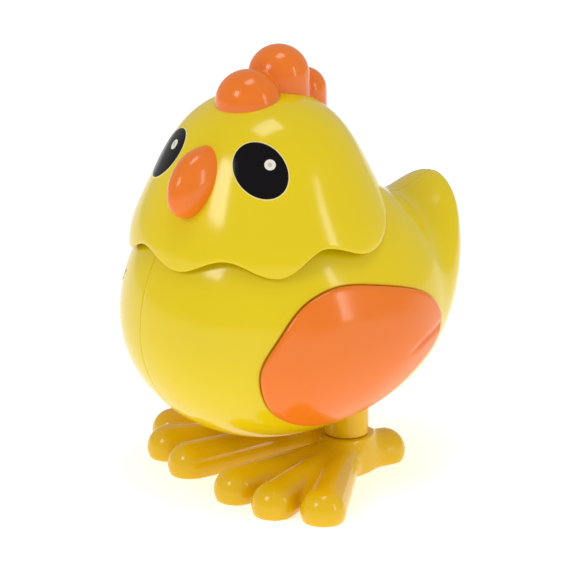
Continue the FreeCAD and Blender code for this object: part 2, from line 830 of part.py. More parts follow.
def make_arbor_and_crank():
    """The two shafts, the crank disc with its pin, and the winding knob."""
    front = NECK_Y - size("front_plate_back") - size("plate_thick")
    arbor_length = NECK_Y + size("knob_start") + 2.5 - front
    arbor = cylinder("winding_arbor", Vector(0, front, size("arbor_z")), "Sizes.arbor_radius",
                     str(arbor_length), TO_BACK)
    keep(arbor, "winding_arbor")
    shaft = cylinder("crank_shaft", Vector(0, front, CRANK_AT[1]), "Sizes.crank_radius",
                     str(NECK_Y + 7.9 - front), TO_BACK)
    keep(shaft, "crank_shaft")

    disc = new_body("crank_disc", Vector(0, NECK_Y + 8.7, CRANK_AT[1]), TO_FRONT)
    face = sketch_on(disc, "crank_disc_sketch", 0.8)
    draw_circle(face, 0, 0, "crank_disc_radius")
    draw_circle(face, 0, 0, "crank_radius")
    pad(disc, face, "Sizes.crank_disc_thick")
    pin = sketch_on(disc, "crank_pin_sketch")
    draw_circle(pin, 0, size("crank_throw"), "crank_pin_radius")
    pad(disc, pin, "0.8 + Sizes.crank_disc_thick")

    knob = new_body("winding_knob", Vector(0, NECK_Y + size("knob_start"), size("arbor_z")),
                    TO_BACK)
    hub = sketch_on(knob, "knob_hub_sketch")
    hub.addGeometry(Part.Circle(Vector(), UP, 3.2), False)
    pad(knob, hub, "3.4")
    bar = sketch_on(knob, "knob_bar_sketch", 3.0)
    half_width, half_length = 1.6, 5.0
    bar.addGeometry([
        Part.LineSegment(Vector(half_width, -half_length, 0), Vector(half_width, half_length, 0)),
        Part.ArcOfCircle(Part.Circle(Vector(0, half_length, 0), UP, half_width), 0, math.pi),
        Part.LineSegment(Vector(-half_width, half_length, 0), Vector(-half_width, -half_length, 0)),
        Part.ArcOfCircle(Part.Circle(Vector(0, -half_length, 0), UP, half_width), math.pi,
                         2 * math.pi)], False)
    pad(knob, bar, "3.4")
    blind = sketch_on(knob, "knob_bore_sketch")
    draw_circle(blind, 0, 0, "arbor_radius")
    bore = knob.newObject("PartDesign::Pocket", "knob_bore")
    bore.Profile = blind
    bore.Reversed = True
    bind(bore, Length="2.5")


# ---------------------------------------------------------------- legs

def make_leg(side_name, side):
    """Tube with a socket for the foot's spigot and pilot holes for the two screws."""
    x, y = side * size("ankle_x"), NECK_Y + size("ankle_back")
    low, top = size("ankle_z"), size("carrier_z")
    whole = cylinder(side_name + "_tube", Vector(x, y, low), "Sizes.tube_radius",
                     "Sizes.carrier_z - Sizes.ankle_z")
    socket = cylinder(side_name + "_socket", Vector(x, y, low), "Sizes.socket_radius",
                      "Sizes.spigot_length + 0.2")
    pilot = cylinder(side_name + "_pilot", Vector(x, y, low), "Sizes.foot_screw_shank + 0.02",
                     str(top - low))
    hollow = fuse(side_name + "_tube_bores", [socket, pilot])
    keep(cut(side_name + "_leg_tube", whole, hollow), side_name + "_leg_tube")


TOES = {4.0: 36.0, 26.0: 37.0, 46.0: 35.5}    # degrees outwards from straight ahead: length
TOE_RADIUS = 4.5
TOE_AXIS_Z = 2.4
HEEL_LENGTH = 13.0


def toe_shape(start_radius, end_radius, length):
    """A tapered limb along +Z with a round end."""
    corner = Vector(end_radius, 0, length)
    bend = Vector(end_radius * math.sin(math.pi / 4), 0,
                  length + end_radius * math.cos(math.pi / 4))
    tip = Vector(0, 0, length + end_radius)
    edges = [Part.makeLine(Vector(), Vector(start_radius, 0, 0)),
             Part.makeLine(Vector(start_radius, 0, 0), corner),
             Part.Arc(corner, bend, tip).toShape(), Part.makeLine(tip, Vector())]
    return Part.Face(Part.Wire(edges)).revolve(Vector(), UP, 360)


def make_feet():
    """Collar, three toes that fan out, a heel spur and low webs, all flat underneath.

    The right foot is built and the left one is its mirror image."""
    side = SIDES["right"]
    x, y = side * size("ankle_x"), NECK_Y + size("ankle_back")
    label = "right_foot"
    pieces = [
        cylinder(label + "_collar", Vector(x, y, 0), "Sizes.collar_radius", "Sizes.ankle_z"),
        cylinder(label + "_spigot", Vector(x, y, size("ankle_z")), "Sizes.spigot_radius",
                 "Sizes.spigot_length"),
    ]
    spurs = [(angle, length, TOE_RADIUS) for angle, length in TOES.items()]
    spurs.append((180.0, HEEL_LENGTH, 4.2))
    tips = []
    for number, (angle, length, radius) in enumerate(spurs):
        turn = math.radians(angle)
        ahead = Vector(side * math.sin(turn), -math.cos(turn), 0)
        start = Vector(x, y, TOE_AXIS_Z + 1.6 + 0.15 * number)
        tip = Vector(x, y, TOE_AXIS_Z) + ahead * (length - radius)
        tips.append(tip)
        limb = doc.addObject("Part::Feature", f"{label}_limb_{number}")
        limb.Shape = toe_shape(3.6, radius, (tip - start).Length)
        limb.Placement = Placement(start, Rotation(UP, tip - start))
        pieces.append(limb)
    web_reach = 0.72
    ankle = Vector(x, y, 0)
    corners = [ankle] + [ankle + (Vector(t.x, t.y, 0) - ankle) * web_reach for t in tips[:3]]
    web = doc.addObject("Part::Feature", label + "_web")
    web.Shape = Part.Face(Part.makePolygon(corners + corners[:1])).extrude(UP * 2.6)
    pieces.append(web)
    whole = fuse(label + "_whole", pieces)
    below = box(label + "_below", Vector(x - 60, y - 60, -20), "120", "120", "20")
    flat = cut(label + "_flat", whole, below)
    seat = cylinder(label + "_seat", Vector(x, y, -1), "Sizes.foot_screw_head + 0.15", "3.4")
    hole = cylinder(label + "_hole", Vector(x, y, -1), "Sizes.foot_screw_shank + 0.1", "20")
    right = keep(cut(label, flat, fuse(label + "_bores", [seat, hole])), label)
    left = doc.addObject("Part::Mirroring", "left_foot")
    left.Source = right
    left.Normal = Vector(1, 0, 0)
    keep(left, "left_foot")


def make_leg_frame():
    """Carrier plate across both tubes and the slotted yoke that stands on it."""
    y_front = NECK_Y + size("carrier_front")
    y_rear = NECK_Y + size("carrier_rear")
    half = size("carrier_half_width")
    ankle_y = NECK_Y + size("ankle_back")
    flange_y = y_front + 3.6
    body = new_body("leg_carrier", Vector(0, 0, size("carrier_z")))
    sketch = sketch_on(body, "leg_carrier_sketch")
    draw_outline(sketch, [(-half, y_front), (half, y_front), (half, y_rear), (-half, y_rear)])
    for side in SIDES.values():
        index = sketch.addGeometry(Part.Circle(Vector(side * size("ankle_x"), ankle_y, 0), UP, 1.3))
        sketch.addConstraint(Sketcher.Constraint("Radius", index, 1.3))
        draw_circle(sketch, side * 3.0, flange_y, "screw_clearance")
    pad(body, sketch, "Sizes.carrier_thick")

    top = size("carrier_z") + size("carrier_thick")
    half_yoke = size("yoke_half_width")
    pin_z = CRANK_AT[1] + size("crank_throw")
    blade = box("yoke_blade", Vector(-half_yoke, y_front, top), "2 * Sizes.yoke_half_width",
                "Sizes.yoke_thick", "Sizes.yoke_top_z - Sizes.carrier_z - Sizes.carrier_thick")
    flange = box("yoke_flange", Vector(-half_yoke, y_front, top), "2 * Sizes.yoke_half_width",
                 "5.4", "1.2")
    slot = box("yoke_slot", Vector(-3.7, y_front - 1, pin_z - 1.05), "7.4", "4", "2.1")
    window = box("yoke_window", Vector(-2.6, y_front - 1, size("arbor_z") - 2.6), "5.2", "4",
                 "10.4")
    holes = [cylinder(f"yoke_hole_{side}", Vector(side * 3.0, flange_y, top - 1),
                      "Sizes.screw_clearance", "4") for side in SIDES.values()]
    yoke = cut("hop_yoke", fuse("yoke_whole", [blade, flange]),
               fuse("yoke_openings", [slot, window] + holes))
    keep(yoke, "hop_yoke")

    screws = []
    for side_name, side in SIDES.items():
        screws.append(screw(f"{side_name}_tube_screw", Vector(side * size("ankle_x"), ankle_y, top),
                            Rotation(), "Sizes.foot_screw_shank", "Sizes.foot_screw_head", "1.2",
                            8))
        screws.append(screw(f"{side_name}_yoke_screw", Vector(side * 3.0, flange_y, top + 1.2),
                            Rotation(), "Sizes.screw_shank", "Sizes.screw_head",
                            "Sizes.screw_head_thick", 3.4))
    group("carrier_screws", screws)
    foot_screws = []
    for side_name, side in SIDES.items():
        foot_screws.append(screw(f"{side_name}_foot_screw",
                                 Vector(side * size("ankle_x"), ankle_y, 2.4),
                                 Rotation(Vector(1, 0, 0), 180), "Sizes.foot_screw_shank",
                                 "Sizes.foot_screw_head", "1.4", 14))
    group("foot_screws", foot_screws)


# ---------------------------------------------------------------- assembly

def build():
    for side_name, side in SIDES.items():
        make_shell(f"body_{side_name}_shell", side)
        make_wing(f"{side_name}_wing", side)
        make_leg(side_name, side)
    make_feet()
    make_body_screws()
    make_head()
    make_neck_plate()
    make_frame()
    make_mainspring()
    make_wheels()
    make_pawl()
    make_arbor_and_crank()
    make_leg_frame()
    doc.recompute()


def check_and_export():
    faults = [f"{item.Name}: {item.State}" for item in doc.Objects
              if "Invalid" in item.State or "Error" in item.State]
    for label, item in parts.items():
        if item.Shape.isNull() or not item.Shape.isValid():
            faults.append(f"{label}: bad shape")
        elif item.Shape.Volume <= 0:
            faults.append(f"{label}: volume {item.Shape.Volume}")
    if faults:
        raise SystemExit("\n".join(faults))
    os.makedirs("parts", exist_ok=True)
    for label, item in parts.items():
        item.Shape.exportStep(f"parts/{label}.step")
        box_of = item.Shape.BoundBox
        print(f"{label:20s} solids {len(item.Shape.Solids)} volume {item.Shape.Volume:9.1f} "
              f"x {box_of.XMin:6.1f} {box_of.XMax:6.1f} y {box_of.YMin:6.1f} {box_of.YMax:6.1f} "
              f"z {box_of.ZMin:6.1f} {box_of.ZMax:6.1f}")


build()
check_and_export()
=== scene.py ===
"""Looks of the wind-up hopping chick: glossy moulded plastic on a white studio floor.

Shapes are worked out in millimetres in the row frame (chest towards -Y, ground at z = 0) and
turned into metres when a mesh is made.  The head's pieces are built facing -Y on their own axis
and then turned with the head."""
import math

import bmesh
import bpy
import numpy as np
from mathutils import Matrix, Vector


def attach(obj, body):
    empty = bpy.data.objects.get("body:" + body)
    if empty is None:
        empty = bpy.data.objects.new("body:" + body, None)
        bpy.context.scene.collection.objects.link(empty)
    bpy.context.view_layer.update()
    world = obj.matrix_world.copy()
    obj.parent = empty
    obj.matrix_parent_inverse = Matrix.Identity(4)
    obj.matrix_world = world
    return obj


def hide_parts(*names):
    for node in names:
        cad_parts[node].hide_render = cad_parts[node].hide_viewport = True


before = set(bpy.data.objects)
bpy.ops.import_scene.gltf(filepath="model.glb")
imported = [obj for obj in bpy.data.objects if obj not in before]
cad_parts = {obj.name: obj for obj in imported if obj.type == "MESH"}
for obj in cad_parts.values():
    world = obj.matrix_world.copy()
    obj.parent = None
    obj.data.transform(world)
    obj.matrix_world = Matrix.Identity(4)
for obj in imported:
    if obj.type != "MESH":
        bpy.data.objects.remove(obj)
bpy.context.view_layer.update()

MM = 0.001
SIDES = {"left": 1, "right": -1}
NECK_Y = -9.0               # the head turns on the upright axis x = 0, y = NECK_Y
HEAD_TURN = math.radians(18)
CORE = np.array([0.0, -1.0, 36.0])    # the body's surface is reached by rays from here
SHARP_DEG = 38              # edges sharper than this stay crisp


# ---------------------------------------------------------------- small maths

def smooth(share):
    share = np.clip(share, 0, 1)
    return share * share * (3 - 2 * share)


def unit(v):
    return v / np.linalg.norm(v, axis=-1, keepdims=True)


def spline(points, count, closed, start=None, end=None):
    """count points along a cubic spline through points, spaced by its own parameter."""
    points = np.array(points, float)
    loop = np.vstack([points, points[:1]]) if closed else points
    knots = np.concatenate([[0], np.cumsum(np.linalg.norm(np.diff(loop, axis=0), axis=1))])
    steps = np.diff(knots)
    slopes = np.diff(loop, axis=0) / steps[:, None]
    n = len(points)
    matrix = np.zeros((n, n))
    right = np.zeros(points.shape)
    for i in range(n):
        if closed or 0 < i < n - 1:
            before, after = steps[i - 1], steps[i % len(steps)]
            matrix[i, i - 1] += before
            matrix[i, i] += 2 * (before + after)
            matrix[i, (i + 1) % n] += after
            right[i] = 6 * (slopes[i % len(steps)] - slopes[i - 1])
        elif i == 0:
            matrix[0, 0], matrix[0, 1] = 2 * steps[0], steps[0]
            right[0] = 6 * (slopes[0] - np.array(start))
        else:
            matrix[i, i], matrix[i, i - 1] = 2 * steps[-1], steps[-1]
            right[i] = 6 * (np.array(end) - slopes[-1])
    bend = np.linalg.solve(matrix, right)
    bend = np.vstack([bend, bend[:1]]) if closed else bend
    where = np.linspace(0, knots[-1], count, endpoint=not closed)
    i = np.clip(np.searchsorted(knots, where, side="right") - 1, 0, len(steps) - 1)
    h = steps[i][:, None]
    a = (knots[i + 1] - where)[:, None]
    b = (where - knots[i])[:, None]
    return (bend[i] * a ** 3 + bend[i + 1] * b ** 3) / (6 * h) \
        + (loop[i] / h - bend[i] * h / 6) * a + (loop[i + 1] / h - bend[i + 1] * h / 6) * b


def quarter(count):
    """Angles of a rounded edge, from its wall (0) to its face (a right angle)."""
    return np.linspace(0, math.pi / 2, count)


# ---------------------------------------------------------------- meshes

HOLE_TURNS = 72             # points round a drilled hole or a socket


def grid_faces(rows, cols, caps=True):
    """Quads of a grid that closes on itself along its columns, with both ends filled."""
    row, col = np.meshgrid(np.arange(rows - 1), np.arange(cols), indexing="ij")
    after = (col + 1) % cols
    quads = np.stack([row * cols + col, row * cols + after,
                      (row + 1) * cols + after, (row + 1) * cols + col], -1)
    faces = quads.reshape(-1, 4).tolist()
    if caps:
        faces.append(list(range(cols))[::-1])
        faces.append(list(range((rows - 1) * cols, rows * cols)))
    return faces


def make_object(name, points, faces, sharp_deg=SHARP_DEG):
    mesh = bpy.data.meshes.new(name)
    mesh.from_pydata((np.asarray(points).reshape(-1, 3) * MM).tolist(), [], faces)
    work = bmesh.new()
    work.from_mesh(mesh)
    bmesh.ops.recalc_face_normals(work, faces=work.faces)
    work.to_mesh(mesh)
    work.free()
    item = bpy.data.objects.new(name, mesh)
    bpy.context.scene.collection.objects.link(item)
    shade(item, sharp_deg)
    return item


def shade(item, sharp_deg):
    item.data.polygons.foreach_set("use_smooth", [True] * len(item.data.polygons))
    item.data.set_sharp_from_angle(angle=math.radians(sharp_deg))


def dress(item, body, material, slot, *nodes):
    """Give a finished piece its finish and tie it to the CAD body it belongs to."""
    item.data.materials.append(material)
    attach(item, body)
    if nodes:
        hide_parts(*nodes)


def mirrored(points, side):
    return np.asarray(points) * np.array([side, 1, 1])


def lathe(outline, turns, origin, axis):
    """Closed ring of (radius, distance along axis) pairs swept round an axis.

    A distance may be an array with one value for each turn."""
    axis = unit(np.array(axis, float))
    across = unit(np.cross(axis, [0.3, 0.2, 1.0] if abs(axis[2]) < 0.9 else [1.0, 0.2, 0]))
    other = np.cross(axis, across)
    angle = np.arange(turns) * 2 * math.pi / turns
    radial = np.cos(angle)[:, None] * across + np.sin(angle)[:, None] * other
    rows = [np.array(origin, float) + radial * radius
            + np.broadcast_to(np.asarray(along, float), (turns,))[:, None] * axis
            for radius, along in outline]
    return np.array(rows)


def closed_lathe(name, outline, turns, origin, axis):
    """A lathe whose outline closes on itself, such as a tube or a cup with a hole."""
    rows = lathe(outline, turns, origin, axis)
    faces = grid_faces(len(rows), turns, caps=False)
    last = (len(rows) - 1) * turns
    for col in range(turns):
        after = (col + 1) % turns
        faces.append([last + col, last + after, after, col])
    return make_object(name, rows, faces)


def cut_out(item, cutter):
    """Take cutter away from item, and cutter from the scene."""
    modifier = item.modifiers.new("cut", "BOOLEAN")
    modifier.operation = "DIFFERENCE"
    modifier.solver = "EXACT"
    modifier.object = cutter
    bpy.context.view_layer.update()
    graph = bpy.context.evaluated_depsgraph_get()
    mesh = bpy.data.meshes.new_from_object(item.evaluated_get(graph))
    item.modifiers.remove(modifier)
    old = item.data
    item.data = mesh
    bpy.data.meshes.remove(old)
    bpy.data.objects.remove(cutter)


def merge(item, others):
    """Join separate closed lumps into one piece."""
    work = bmesh.new()
    for each in [item] + others:
        work.from_mesh(each.data)
    work.to_mesh(item.data)
    work.free()
    for each in others:
        bpy.data.objects.remove(each)


def drill(radius, start, end):
    """A round cutter between two points."""
    start, end = np.array(start, float), np.array(end, float)
    length = np.linalg.norm(end - start)
    rows = lathe([(radius, 0), (radius, length)], HOLE_TURNS, start, end - start)
    return make_object("drill", rows, grid_faces(2, HOLE_TURNS))


# ---------------------------------------------------------------- free forms from distance

def join_soft(a, b, reach):
    share = np.clip(0.5 + 0.5 * (b - a) / reach, 0, 1)
    return b * (1 - share) + a * share - reach * share * (1 - share)


def limb(p, start, end, start_radius, end_radius):
    """Distance from a tapered rod with round ends."""
    start, end = np.array(start, float), np.array(end, float)
    run = end - start
    share = np.clip(((p - start) @ run) / (run @ run), 0, 1)
    nearest = start + share[..., None] * run
    return np.linalg.norm(p - nearest, axis=-1) - start_radius - share * (end_radius - start_radius)


def slope(distance, p):
    step = 0.02
    return np.stack([distance(p + step * e) - distance(p - step * e) for e in np.eye(3)], -1) \
        / (2 * step)


def skin(distance, low, high, cell):
    """Points and quads of the surface where distance is zero, one point to each crossed cell."""
    low = np.array(low, float)
    count = np.ceil((np.array(high) - low) / cell).astype(int) + 1
    ticks = [low[k] + cell * np.arange(count[k]) for k in range(3)]
    grid = np.stack(np.meshgrid(*ticks, indexing="ij"), -1)
    value = distance(grid)
    inside = value < 0
    corners = [(i, j, k) for i in (0, 1) for j in (0, 1) for k in (0, 1)]

    def at(field, corner):
        i, j, k = corner
        return field[i:count[0] - 1 + i, j:count[1] - 1 + j, k:count[2] - 1 + k]

    total = sum(at(inside, c).astype(int) for c in corners)
    crossed = (total > 0) & (total < 8)
    index = np.full(crossed.shape, -1)
    index[crossed] = np.arange(crossed.sum())
    middle = np.zeros(crossed.shape + (3,))
    hits = np.zeros(crossed.shape)
    for corner in corners:
        for k in range(3):
            if corner[k]:
                continue
            other = tuple(c + (n == k) for n, c in enumerate(corner))
            a, b = at(value, corner), at(value, other)
            here = (a < 0) != (b < 0)
            share = np.where(here, a / np.where(here, a - b, 1), 0)
            spot = np.array(corner, float) + np.eye(3)[k] * share[..., None]
            middle += spot * here[..., None]
            hits += here
    cells = np.argwhere(crossed)
    points = low + cell * (cells + middle[crossed] / hits[crossed][:, None])
    faces = []
    for k in range(3):
        u, v = (k + 1) % 3, (k + 2) % 3
        one = np.roll(np.eye(3, dtype=int)[0], k)
        here = inside[tuple(slice(0, count[n] - one[n]) for n in range(3))] \
            != inside[tuple(slice(one[n], count[n]) for n in range(3))]
        edges = np.argwhere(here)
        edges = edges[(edges[:, u] > 0) & (edges[:, v] > 0)
                      & (edges[:, u] < count[u] - 1) & (edges[:, v] < count[v] - 1)]
        back_u, back_v = np.eye(3, dtype=int)[u], np.eye(3, dtype=int)[v]
        quad = [edges - back_u - back_v, edges - back_v, edges, edges - back_u]
        faces.append(np.stack([index[tuple(q.T)] for q in quad], -1))
    for _ in range(3):
        gradient = slope(distance, points)
        size = np.maximum((gradient ** 2).sum(-1), 0.2)
        move = gradient * (distance(points) / size)[:, None]
        points = points - np.clip(move, -0.5 * cell, 0.5 * cell)
    return points, np.vstack(faces).tolist()


# ---------------------------------------------------------------- the body's outer form

BODY_RADIUS, BODY_MID_Z, BODY_BELOW, BODY_ABOVE, BODY_BEHIND = 31.8, 39.0, 28.0, 33.4, 44.4
REAR_POWER = 2.2
TAIL_BACK, TAIL_Z, TAIL_LEAN = 38.7, 45.7, math.radians(65.7)
TAIL_HALF = (16.4, 20.3, 8.6)    # half width, half length, half depth
TAIL_POWER = 1.8
TAIL_BLEND = 8.9


def body_depth(p):
    """How far a point is outside the body: an egg and a leaning tail lobe, softly joined."""
    x = p[..., 0]
    back = p[..., 1] - NECK_Y
    rise = p[..., 2] - BODY_MID_Z
    power = np.where(back > 0, REAR_POWER, 2.0)
    reach = np.where(back > 0, BODY_BEHIND, BODY_RADIUS)
    tall = np.where(rise > 0, BODY_ABOVE, BODY_BELOW)
    plan = (np.abs(x / BODY_RADIUS) ** power + np.abs(back / reach) ** power) ** (2 / power)
    ratio = np.maximum(np.sqrt(plan + (rise / tall) ** 2), 1e-6)
    egg = np.sqrt(x * x + back * back + rise * rise) * (1 - 1 / ratio)

    back = back - TAIL_BACK
    rise = p[..., 2] - TAIL_Z
    along = back * math.cos(TAIL_LEAN) + rise * math.sin(TAIL_LEAN)
    across = rise * math.cos(TAIL_LEAN) - back * math.sin(TAIL_LEAN)
    ratio = sum(np.abs(part / half) ** TAIL_POWER
                for part, half in zip((x, along, across), TAIL_HALF)) ** (1 / TAIL_POWER)
    ratio = np.maximum(ratio, 1e-6)
    tail = np.sqrt(x * x + along * along + across * across) * (1 - 1 / ratio)
    return join_soft(egg, tail, TAIL_BLEND)


def reach_level(start, direction, level, near, far):
    """Where rays meet the surface that lies level outside the body."""
    near = np.full(direction.shape[:-1], float(near))
    far = np.full(direction.shape[:-1], float(far))
    for _ in range(26):
        middle = (near + far) / 2
        low = body_depth(start + direction * middle[..., None]) < level
        near = np.where(low, middle, near)
        far = np.where(low, far, middle)
    return start + direction * far[..., None]


def body_point(opening, turn, level):
    """Surface point by the angle from the left side's middle and the turn about it."""
    direction = np.stack([np.cos(opening), np.sin(opening) * np.cos(turn),
                          np.sin(opening) * np.sin(turn)], -1)
    return reach_level(CORE, direction, level, 3.0, 75.0)


TURNS = 264
TURN = np.arange(TURNS) * 2 * math.pi / TURNS
HALF_TURN = np.full(TURNS, math.pi / 2)

WING_OUTLINE = [(-21.6, 35.5), (-20.5, 29.5), (-15.5, 22.9), (-6.0, 18.8), (4.0, 18.6),
                (13.0, 22.6), (19.5, 28.0), (24.8, 32.5), (27.0, 37.0), (24.8, 42.0),
                (17.5, 46.8), (5.0, 50.4), (-6.5, 51.5), (-13.8, 48.5), (-19.0, 41.8)]
WING_TURN = math.radians(9)
WING_GAP = 0.25


def wing_opening(inset):
    """The wing's outline on the body, as an opening angle for each turn."""
    outline = np.array(WING_OUTLINE)
    middle = outline.mean(0)
    away = outline - middle
    outline = middle + away * (1 - inset / np.linalg.norm(away, axis=1, keepdims=True))
    outline = spline(outline, 720, True)
    outward = np.array([math.cos(WING_TURN), math.sin(WING_TURN), 0])
    start = np.stack([-outline[:, 0] * math.sin(WING_TURN),
                      outline[:, 0] * math.cos(WING_TURN) + NECK_Y, outline[:, 1]], -1)
    hit = reach_level(start, np.broadcast_to(outward, start.shape), 0.0, 10, 45)
    ray = unit(hit - CORE)
    opening = np.arccos(ray[:, 0])
    turn = np.arctan2(ray[:, 2], ray[:, 1])
    return np.interp(TURN, turn[np.argsort(turn)], opening[np.argsort(turn)], period=2 * math.pi)


def span(first, last, shares):
    return [first + (last - first) * s for s in shares]


# ---------------------------------------------------------------- body shells

RECESS = 1.0
WALL = 2.0
RIM_ROUND = 0.45
SEAM_ROUND = 0.22
SEAM_HALF_GAP = 0.03
DISH_Y, DISH_RADIUS, ARBOR_Z = 29.2, 7.5, 33.0    # the hollow round the winding knob
DISH_FLOOR, DISH_WALL, DISH_HOLE = 1.6, 1.4, 1.56
ANKLE_X, ANKLE_Y = 7.5, 8.7
ANKLE_HOLE_RADIUS = 5.55
SCREWS = [(-34.3, 48.3), (-23.0, 19.5), (24.0, 49.0)]    # y, z of the pockets in the right shell
POCKET_RADIUS, POCKET_FLOOR_X = 2.4, -12.0
POCKET_FLOOR, POCKET_OUTER, POCKET_HOLE = 2.0, 3.4, 1.3
SOCKET_RIM_LEVEL = -0.9     # a socket's rim ends this far under the body's surface
SOCKET_STEP = 0.04          # a socket is this much narrower than its opening


def shell_rings():
    """Rings (opening, level) from the recess floor's middle, over the outside, to the inside."""
    edge = wing_opening(0.0)
    radius = np.linalg.norm(body_point(edge, TURN, 0.0) - CORE, axis=-1)
    rim_radius = np.linalg.norm(body_point(HALF_TURN, TURN, 0.0) - CORE, axis=-1)
    rings = [(edge * s, -RECESS) for s in (0.01, 0.2, 0.4, 0.6, 0.8, 0.95, 1.0)]
    for angle in quarter(5):
        rings.append((edge + RIM_ROUND * (1 - math.cos(angle)) / radius,
                      -RIM_ROUND * (1 - math.sin(angle))))
    first = rings[-1][0]
    last = HALF_TURN - SEAM_ROUND / rim_radius
    rings += [(opening, 0.0) for opening in span(first, last, np.linspace(0, 1, 62)[1:])]
    for angle in quarter(4)[::-1][1:]:
        rings.append((HALF_TURN - SEAM_ROUND * (1 - math.cos(angle)) / rim_radius,
                      -SEAM_ROUND * (1 - math.sin(angle))))
    rings += [(HALF_TURN * s, -WALL) for s in (1.0, 0.97, *np.linspace(0.93, 0.08, 24), 0.01)]
    return rings


def rim_along(start, axis, radius):
    """How far along a socket's axis its rim lies to stay just under the body's surface."""
    rows = lathe([(radius, 0)], HOLE_TURNS, start, axis)
    direction = np.broadcast_to(unit(np.array(axis, float)), rows[0].shape)
    hit = reach_level(rows[0], direction, SOCKET_RIM_LEVEL, 0, 40)
    return np.linalg.norm(hit - rows[0], axis=-1)


def make_socket(name, start, axis, floor, inner, outer, hole):
    """A cup that stands behind an opening in the shell; start is the middle of its back."""
    rim_in = rim_along(start, axis, inner)
    rim_out = rim_along(start, axis, outer)
    outline = [(hole, 0), (outer, 0), (outer, rim_out), (inner, rim_in), (inner, floor),
               (hole, floor)]
    return closed_lathe(name, outline, HOLE_TURNS, start, axis)


def make_shells(material):
    rings = shell_rings()
    points = np.array([body_point(o, TURN, level) for o, level in rings])
    points[..., 0] += SEAM_HALF_GAP
    for side_name, side in SIDES.items():
        shell = make_object(f"{side_name}_body", mirrored(points, side),
                            grid_faces(len(rings), TURNS))
        cut_out(shell, drill(DISH_RADIUS, (0, DISH_Y - 2.5, ARBOR_Z), (0, 50, ARBOR_Z)))
        cut_out(shell, drill(ANKLE_HOLE_RADIUS, (side * ANKLE_X, ANKLE_Y, 2),
                             (side * ANKLE_X, ANKLE_Y, 22)))
        extra = []
        if side < 0:
            for y, z in SCREWS:
                cut_out(shell, drill(POCKET_RADIUS, (POCKET_FLOOR_X - 2, y, z), (-45, y, z)))
                back = (POCKET_FLOOR_X + POCKET_FLOOR, y, z)
                extra.append(make_socket("pocket", back, (-1, 0, 0), POCKET_FLOOR,
                                         POCKET_RADIUS - SOCKET_STEP, POCKET_OUTER, POCKET_HOLE))
        else:
            back = (0, DISH_Y - DISH_FLOOR, ARBOR_Z)
            extra.append(make_socket("dish", back, (0, 1, 0), DISH_FLOOR,
                                     DISH_RADIUS - SOCKET_STEP, DISH_RADIUS + DISH_WALL, DISH_HOLE))
        merge(shell, extra)
        shade(shell, SHARP_DEG)
        dress(shell, "chassis", material, "yellow_shell", f"body_{side_name}_shell")


# ---------------------------------------------------------------- wings

WING_EDGE_LEVEL, WING_DOME = 0.95, 0.35
WING_BEVEL_WIDTH, WING_BEVEL_DEPTH = 1.3, 0.85
WING_DOME_WIDTH = 9.0       # the face reaches its full height this far from the bevel
WING_BACK_GAP = 0.03        # between the wing's back and the recess's floor
CREASE = [(25.4, 21.2, 36.9), (28.3, 14.3, 35.2), (29.8, 7.8, 32.7)]
CREASE_DEPTH, CREASE_HALF_WIDTH = 0.55, 0.75


def make_wings(material):
    edge = wing_opening(WING_GAP)
    radius = np.linalg.norm(body_point(edge, TURN, 0.0) - CORE, axis=-1)
    inner_edge = edge - WING_BEVEL_WIDTH / radius
    shares = [0.012, *np.linspace(0.04, 1, 50)]
    rings = [(inner_edge * s, WING_EDGE_LEVEL
              + WING_DOME * smooth((1 - s) * inner_edge * radius / WING_DOME_WIDTH))
             for s in shares]
    bevel = quarter(8)[::-1][1:]
    for angle in bevel:
        rings.append((edge - WING_BEVEL_WIDTH * (1 - math.cos(angle)) / radius,
                      WING_EDGE_LEVEL - WING_BEVEL_DEPTH * (1 - math.sin(angle))))
    rings += [(edge * s, WING_BACK_GAP - RECESS) for s in (1.0, 0.9, 0.6, 0.3, 0.01)]

    crease = spline(CREASE, 60, False, unit(np.array(CREASE[1]) - CREASE[0]),
                    unit(np.array(CREASE[2]) - CREASE[1]))
    crease = unit(crease - CORE)
    rows = []
    for number, (opening, level) in enumerate(rings):
        if number < len(shares) + len(bevel):
            direction = np.stack([np.cos(opening), np.sin(opening) * np.cos(TURN),
                                  np.sin(opening) * np.sin(TURN)], -1)
            gap = np.linalg.norm(direction[:, None, :] - crease[None], axis=-1)
            nearest = gap.argmin(1)
            distance = gap.min(1) * radius.mean()
            fade = 1 - smooth((nearest / len(crease) - 0.45) / 0.55)
            level = level - CREASE_DEPTH * np.exp(-(distance / CREASE_HALF_WIDTH) ** 2) * fade
        rows.append(body_point(opening, TURN, level))
    for side_name, side in SIDES.items():
        wing = make_object(f"{side_name}_wing_panel", mirrored(rows, side),
                           grid_faces(len(rows), TURNS))
        dress(wing, "chassis", material, "orange_trim", f"{side_name}_wing")


# ---------------------------------------------------------------- head

CAP_PROFILE = [(29.5, 53.0), (29.4, 57.0), (28.1, 62.0), (25.9, 67.0), (23.4, 72.0), (20.4, 77.6),
               (16.6, 82.6), (10.9, 86.7), (5.6, 88.5), (0.0, 89.0)]
CAP_CURVE = spline(CAP_PROFILE, 2400, False, (0, 1), (-1, 0))
CAP_CENTRE_Z = 55.0         # the cap's inside is its outside, drawn in towards this height
CAP_TOP_Z = CAP_PROFILE[-1][1]


def head_place(p):
    """From the head's own frame to the row frame."""
    p = np.asarray(p, float)
    c, s = math.cos(HEAD_TURN), math.sin(HEAD_TURN)
    return np.stack([p[..., 0] * c - p[..., 1] * s, p[..., 0] * s + p[..., 1] * c + NECK_Y,
                     p[..., 2]], -1)


# lowest and highest places of the cap's scalloped edge: degrees from the face, height
EDGE_TURNS = [(0.0, 54.6), (22.5, 58.0), (45.0, 54.6), (67.0, 60.0), (90.0, 57.2), (136.0, 66.6),
              (180.0, 67.6)]


